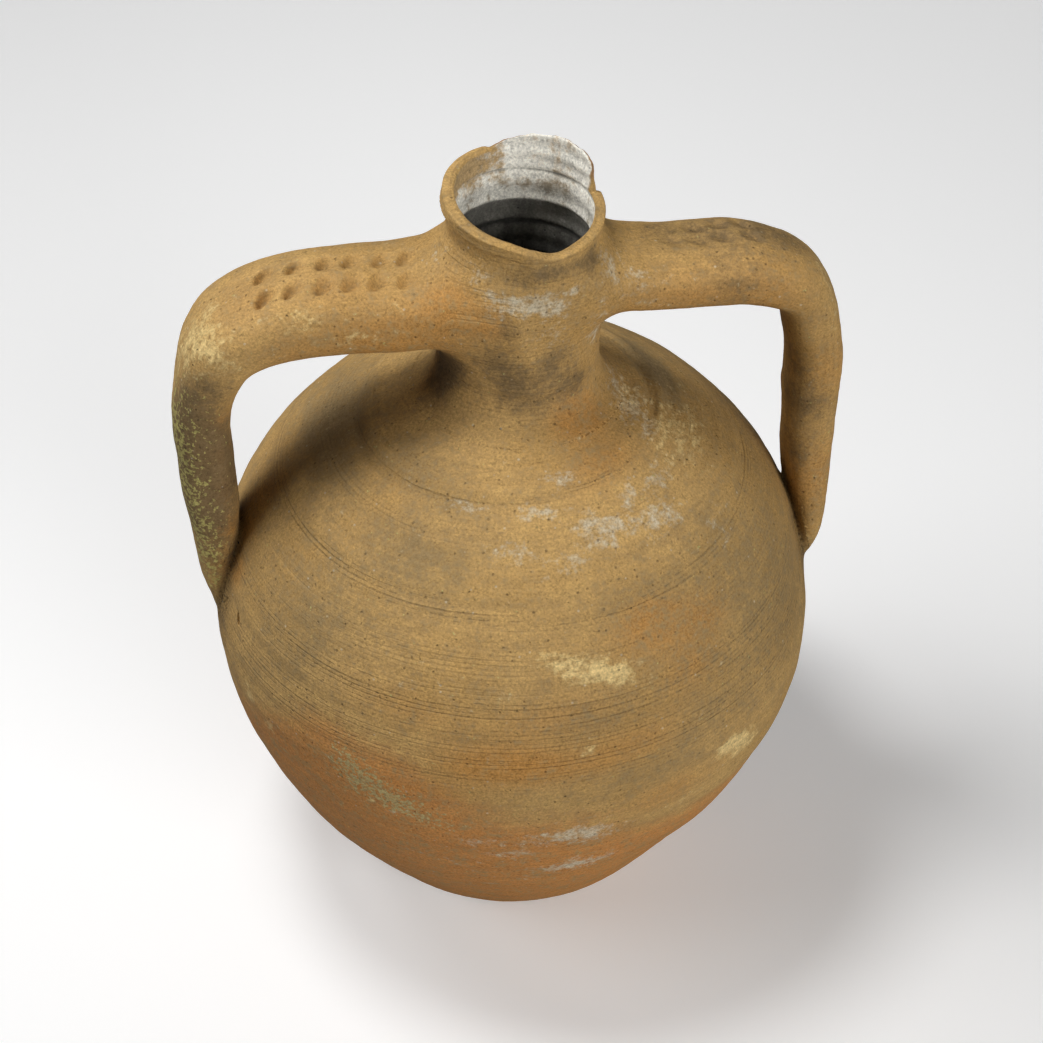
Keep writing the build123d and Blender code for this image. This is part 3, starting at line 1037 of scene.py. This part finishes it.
class Nodes:
    """Short calls for building a shader."""

    def __init__(self, material):
        material.use_nodes = True
        self.tree = material.node_tree
        self.shader = self.tree.nodes["Principled BSDF"]
        self.position = self.node("ShaderNodeTexCoord", {}).outputs["Object"]

    def node(self, kind, inputs, **settings):
        made = self.tree.nodes.new(kind)
        for key, value in settings.items():
            setattr(made, key, value)
        for key, value in inputs.items():
            self.feed(made.inputs[key], value)
        return made

    def feed(self, socket, value):
        if isinstance(value, bpy.types.NodeSocket):
            self.tree.links.new(value, socket)
        else:
            socket.default_value = value

    def math(self, operation, *values):
        return self.node("ShaderNodeMath", dict(enumerate(values)), operation=operation).outputs[0]

    def total(self, *pairs):
        """Sum of values, each with its weight."""
        result = 0.0
        for value, weight in pairs:
            result = self.math("MULTIPLY_ADD", value, weight, result)
        return result

    def step(self, value, low, high):
        inputs = {"Value": value, "From Min": low, "From Max": high}
        node = self.node("ShaderNodeMapRange", inputs, interpolation_type="SMOOTHSTEP")
        return node.outputs["Result"]

    def mix(self, share, first, second):
        first, second = [c if not isinstance(c, tuple) else (*c, 1.0) for c in (first, second)]
        inputs = {0: share, 6: first, 7: second}
        return self.node("ShaderNodeMix", inputs, data_type="RGBA").outputs[2]

    def cover(self, colour, stain, value, low, high, most=1.0):
        """Colour with a stain over it where the value is high, up to some share."""
        return self.mix(self.math("MULTIPLY", self.step(value, low, high), most), colour, stain)

    def scaled(self, vector, scale):
        inputs = {0: vector, 1: scale}
        return self.node("ShaderNodeVectorMath", inputs, operation="MULTIPLY").outputs[0]

    def noise(self, size, detail=3.0, roughness=0.55, vector=None, seed=0.0):
        """Cloudy noise around 0.5 whose features are about size millimetres."""
        source = vector or self.position
        stretch = 1.0 if vector else 1 / MM
        inputs = {0: source, 1: (stretch / size,) * 3, 2: (seed, seed * 1.7, seed * 0.6)}
        moved = self.node("ShaderNodeVectorMath", inputs, operation="MULTIPLY_ADD").outputs[0]
        inputs = {"Vector": moved, "Scale": 1.0, "Detail": detail, "Roughness": roughness}
        return self.node("ShaderNodeTexNoise", inputs).outputs["Fac"]

    def specks(self, size, radius, share, seed):
        """Round specks, one for some share of cells of the given size in millimetres."""
        inputs = {0: self.position, 1: (1 / MM / size,) * 3, 2: (seed, seed, seed)}
        moved = self.node("ShaderNodeVectorMath", inputs, operation="MULTIPLY_ADD").outputs[0]
        cells = self.node("ShaderNodeTexVoronoi", {"Vector": moved, "Scale": 1.0})
        near = self.step(cells.outputs["Distance"], radius * 1.5, radius * 0.6)
        luck = self.node("ShaderNodeSeparateColor", {"Color": cells.outputs["Color"]}).outputs[0]
        return self.math("MULTIPLY", near, self.math("LESS_THAN", luck, share))

    def mask(self, name):
        return self.node("ShaderNodeAttribute", {}, attribute_name=name).outputs["Fac"]


COMB_PITCH = 2.5
CLAY_BRIGHTNESS = 1.02

# Clay and deposit colours, as linear reflectance; the soot colours and the inside grey also paint
# shade, and the lime yellow some light
OCHRE = (0.480, 0.285, 0.088)
OCHRE_LIGHT = (0.560, 0.352, 0.122)
ORANGE_CLAY = (0.500, 0.245, 0.058)
FILM_BROWN = (0.320, 0.205, 0.078)
GREY_BROWN = (0.215, 0.152, 0.070)
RED_CLAY = (0.590, 0.235, 0.054)
# Lime colour, also painted light right of the neck
LIME_AND_LIGHT_YELLOW = (0.680, 0.500, 0.215)
CHALK_WHITE = (0.560, 0.500, 0.370)
# Black of soot, also painted shade deep in the neck
SOOT_AND_SHADE_BLACK = (0.050, 0.048, 0.042)
LICHEN_GREEN = (0.47, 0.42, 0.13)
SPECK_GREEN = (0.40, 0.37, 0.17)
# Brown of soot, also used as painted shade
SOOT_AND_SHADE_BROWN = (0.125, 0.083, 0.038)
INSIDE_LIME = (0.85, 0.82, 0.73)
INSIDE_BROWN = (0.37, 0.24, 0.095)
# Grey inside the neck, partly painted shade
INSIDE_GREY = (0.24, 0.23, 0.20)
FRACTURE = (0.34, 0.19, 0.085)


def clay_material():
    material = bpy.data.materials.new("earthenware")
    n = Nodes(material)
    sweep = n.node("ShaderNodeAttribute", {}, attribute_name="sweep").outputs["Vector"]
    lines = n.noise(1.0, 1.0, 0.5, n.scaled(sweep, (0.014, 0.014, 0.48)))
    drags = n.noise(1.0, 3.0, 0.6, n.scaled(sweep, (0.03, 0.03, 0.16)), 5.0)
    grain = n.noise(1.25, 2.0, 0.65)
    speckle = n.noise(3.2, 4.0, 0.66, seed=3.0)
    cloud = n.noise(11.0, 6.0, 0.70, seed=7.0)
    wide = n.noise(60.0, 3.0, 0.5, seed=11.0)

    colour = clay_colour(n, grain, speckle, cloud, wide, drags)
    colour, lime_and_light = add_deposits(n, colour, speckle, drags)
    colour = add_inside(n, colour, speckle, cloud, drags)
    pits = n.specks(4.4, 0.13, 0.4, 2.0)
    comb = comb_lines(n, sweep, lines, speckle, drags)
    # Comb lines and pits darken the clay, and painted shade darkens the crevices where handles meet
    # the body
    dark = n.total((comb, 0.33), (pits, 0.35), (n.mask("crevice_shade"), 0.45))
    uneven = ((grain, 1.4), (speckle, 1.3), (cloud, 0.55), (lines, 0.30))
    average = sum(weight for _, weight in uneven) / 2
    bright = n.math("ADD", n.total(*uneven, (dark, -1.0)), CLAY_BRIGHTNESS - average)
    colour = n.node("ShaderNodeVectorMath", {0: colour, "Scale": bright}, operation="SCALE")
    n.feed(n.shader.inputs["Base Color"], colour.outputs[0])
    rough = n.total((speckle, 0.25), (lime_and_light, 0.10), (cloud, -0.12))
    n.feed(n.shader.inputs["Roughness"], n.math("ADD", rough, 0.72))
    n.feed(n.shader.inputs["Specular IOR Level"], 0.35)
    height = n.total(
        (grain, 0.30), (speckle, 0.50), (lines, 0.25), (comb, -0.35), (pits, -0.6), (lime_and_light, 0.12)
    )
    bump_node = n.node("ShaderNodeBump", {"Height": height, "Distance": MM, "Strength": 0.8})
    n.feed(n.shader.inputs["Normal"], bump_node.outputs["Normal"])
    return material


def comb_lines(n, sweep, lines, speckle, drags):
    """Fine parallel lines of a comb or rag, broken up where they are worn."""
    climb = n.node("ShaderNodeSeparateXYZ", {0: sweep}).outputs[2]
    wave = n.math("SINE", n.total((climb, 2 * math.pi / COMB_PITCH), (drags, 5.0)))
    worn = n.step(n.total((lines, 0.8), (speckle, 0.7)), 0.66, 0.86)
    teeth = n.math("MULTIPLY", n.step(wave, -0.1, 0.9), worn)
    return n.math("MULTIPLY", n.mask("comb"), teeth)


def clay_colour(n, grain, speckle, cloud, wide, drags):
    """Fired clay under its thin brown film of age."""
    clay = n.mix(n.step(wide, 0.35, 0.65), OCHRE, OCHRE_LIGHT)
    warm = n.total((n.mask("orange"), 0.40), (wide, 0.35), (speckle, 0.5), (cloud, 0.5))
    clay = n.mix(n.step(warm, 0.60, 1.15), clay, ORANGE_CLAY)
    red = n.total((n.mask("red"), 1.0), (cloud, 1.3), (drags, 0.6), (speckle, 1.2))
    clay = n.mix(n.step(red, 1.66, 2.62), clay, RED_CLAY)
    film = n.total((n.mask("film"), 0.11), (cloud, 0.75), (speckle, 0.75), (drags, 0.2))
    thin = n.mix(n.step(film, 0.66, 1.14), clay, FILM_BROWN)
    thick = n.total((n.mask("film"), 0.10), (cloud, 0.5), (speckle, 0.9), (grain, 0.5))
    return n.mix(n.math("MULTIPLY", n.step(thick, 0.94, 1.24), 0.70), thin, GREY_BROWN)


def add_deposits(n, colour, speckle, drags):
    """Lime, chalk, lichen, soot and the broken edge on the outside; the soot also paints shade, and
    some lime paints light.
    """
    flakes = n.noise(7.0, 6.0, 0.72, seed=17.0)
    broken_up = n.total((flakes, 1.0), (speckle, 0.6), (drags, 0.45))
    dots = n.noise(2.3, 2.0, 0.6, seed=29.0)
    # Soot, and painted shade under the left handle root, on the limbs and in the dimples
    soot_and_shade = n.total((n.mask("soot_and_shade"), 0.38), (flakes, 0.6), (speckle, 0.4))
    colour = n.cover(colour, SOOT_AND_SHADE_BROWN, soot_and_shade, 0.62, 1.05, 0.85)
    green = n.total((n.mask("green"), 0.20), (dots, 1.0), (flakes, 0.3))
    colour = n.cover(colour, SPECK_GREEN, green, 0.86, 0.93, 0.65)
    lichen = n.total((n.mask("lichen"), 0.21), (dots, 1.0), (flakes, 0.3))
    colour = n.cover(colour, LICHEN_GREEN, lichen, 0.86, 0.95, 0.7)
    chalk = n.total((n.mask("chalk"), 0.33), (broken_up, 1.0))
    chalk = n.math("MULTIPLY", n.step(chalk, 1.18, 1.55), 0.75)
    colour = n.mix(chalk, colour, CHALK_WHITE)
    lime_and_light = n.total((n.mask("lime_and_light"), 0.36), (broken_up, 1.0))
    lime_and_light = n.math("MULTIPLY", n.step(lime_and_light, 1.20, 1.60), 0.9)
    colour = n.mix(lime_and_light, colour, LIME_AND_LIGHT_YELLOW)
    colour = n.mix(n.math("MULTIPLY", n.specks(6.5, 0.09, 0.30, 9.0), 0.5), colour, CHALK_WHITE)
    broken = n.step(n.total((n.mask("broken"), 1.0), (flakes, 0.4)), 0.5, 0.9)
    return n.mix(broken, colour, FRACTURE), n.math("MAXIMUM", lime_and_light, chalk)


def add_inside(n, colour, speckle, cloud, drags):
    """The limed and sooted inside, darkened with painted shade deeper down the neck."""
    spread = n.total((cloud, 0.7), (speckle, 0.6), (drags, 0.6))
    inside = n.mix(n.step(spread, 0.95, 1.25), INSIDE_LIME, INSIDE_BROWN)
    brown = n.total((n.mask("brown"), 1.0), (spread, 1.6))
    inside = n.cover(inside, INSIDE_BROWN, brown, 1.75, 2.25, 0.95)
    # Soot and painted shade inside the neck
    soot_and_shade = n.total((n.mask("soot_and_shade"), 1.0), (spread, 1.0))
    inside = n.mix(n.step(soot_and_shade, 1.0, 1.5), inside, INSIDE_GREY)
    inside = n.mix(n.step(soot_and_shade, 1.30, 1.95), inside, SOOT_AND_SHADE_BLACK)
    return n.mix(n.step(n.mask("inner"), 0.2, 0.8), colour, inside)


# ---- Studio

VIEW_ELEVATION = 42.0
VIEW_SIDE = 9.0
VIEW_DISTANCE = 1.15
LENS = 71.74
SENSOR = 36.0
CAMERA_SHIFT = (0.00975, 0.0017)
FLOOR_HALF = 6.0
SKY_STRENGTH = 0.03

# Far lights: name, elevation, azimuth, spread in degrees, strength
FAR_LIGHTS = (
    ("left", 32, 178, 34, 0.26),
    ("front_right", 9, 300, 48, 0.86),
)
# Lamps near the pot: name, place, width in metres, strength
LAMPS = (
    ("overhead", (-0.36, 0.12, 1.50), 0.42, 0.58),
    ("back_left", (-0.75, 0.35, 1.05), 0.36, 0.17),
)
LAMP_AIM = (0.0, 0.0, 0.3)


def add_camera():
    low, high = CAD_BOUNDS
    target = Vector((0.0, 0.0, (low[2] + high[2]) / 2))
    up, side = math.radians(VIEW_ELEVATION), math.radians(VIEW_SIDE)
    away = Vector((-math.sin(side) * math.cos(up), -math.cos(side) * math.cos(up), math.sin(up)))
    data = bpy.data.cameras.new("camera")
    data.lens = LENS
    data.sensor_width = SENSOR
    data.shift_x, data.shift_y = CAMERA_SHIFT
    camera = bpy.data.objects.new("camera", data)
    camera.location = target + away * VIEW_DISTANCE
    camera.rotation_euler = (-away).to_track_quat("-Z", "Y").to_euler()
    bpy.context.scene.collection.objects.link(camera)
    bpy.context.scene.camera = camera


def add_floor():
    mesh = bpy.data.meshes.new("floor")
    corners = [(x * FLOOR_HALF, y * FLOOR_HALF, 0) for x, y in ((-1, -1), (1, -1), (1, 1), (-1, 1))]
    mesh.from_pydata(corners, [], [(0, 1, 2, 3)])
    floor = bpy.data.objects.new("floor", mesh)
    bpy.context.scene.collection.objects.link(floor)
    mesh.materials.append(floor_paper())


def studio():
    add_camera()
    add_floor()
    for light in FAR_LIGHTS:
        add_far_light(*light)
    for lamp in LAMPS:
        add_lamp(*lamp)
    world = bpy.data.worlds.new("studio")
    world.use_nodes = True
    sky = world.node_tree.nodes["Background"].inputs
    sky["Color"].default_value = (1, 1, 1, 1)
    sky["Strength"].default_value = SKY_STRENGTH
    bpy.context.scene.world = world


def floor_paper():
    """Pale paper that shines softly to the camera and throws little light back up."""
    paper = bpy.data.materials.new("floor_paper")
    n = Nodes(paper)
    seen = n.node("ShaderNodeLightPath", {}).outputs["Is Camera Ray"]
    n.feed(n.shader.inputs["Base Color"], n.mix(seen, (0.32, 0.32, 0.32), (0.93, 0.93, 0.93)))
    n.feed(n.shader.inputs["Roughness"], 0.95)
    n.feed(n.shader.inputs["Emission Color"], (1.0, 1.0, 1.0, 1.0))
    n.feed(n.shader.inputs["Emission Strength"], n.math("MULTIPLY", seen, 0.22))
    return paper


def add_far_light(name, elevation, azimuth, spread, strength):
    """A broad, distant light; a strength of 1 shows a white card at full brightness."""
    data = bpy.data.lights.new(name, "SUN")
    data.angle = math.radians(spread)
    data.energy = strength * math.pi
    up, turn = math.radians(elevation), math.radians(azimuth)
    towards = (math.cos(up) * math.cos(turn), math.cos(up) * math.sin(turn), math.sin(up))
    hang(name, data, Vector(towards), Vector(towards))


def add_lamp(name, place, width, strength):
    """A round soft box; a strength of 1 shows a white card at the pot at full brightness."""
    data = bpy.data.lights.new(name, "AREA")
    data.shape = "DISK"
    data.size = width
    away = Vector(place) - Vector(LAMP_AIM)
    data.energy = strength * (math.pi * away.length) ** 2
    hang(name, data, Vector(place), away)


def hang(name, data, place, away):
    light = bpy.data.objects.new(name, data)
    light.location = place
    light.rotation_euler = away.to_track_quat("Z", "Y").to_euler()
    bpy.context.scene.collection.objects.link(light)


def main():
    bpy.context.scene.view_settings.view_transform = "Standard"
    clay = clay_material()
    for name in REGIONS:
        make_piece(name, clay)
    studio()


main()
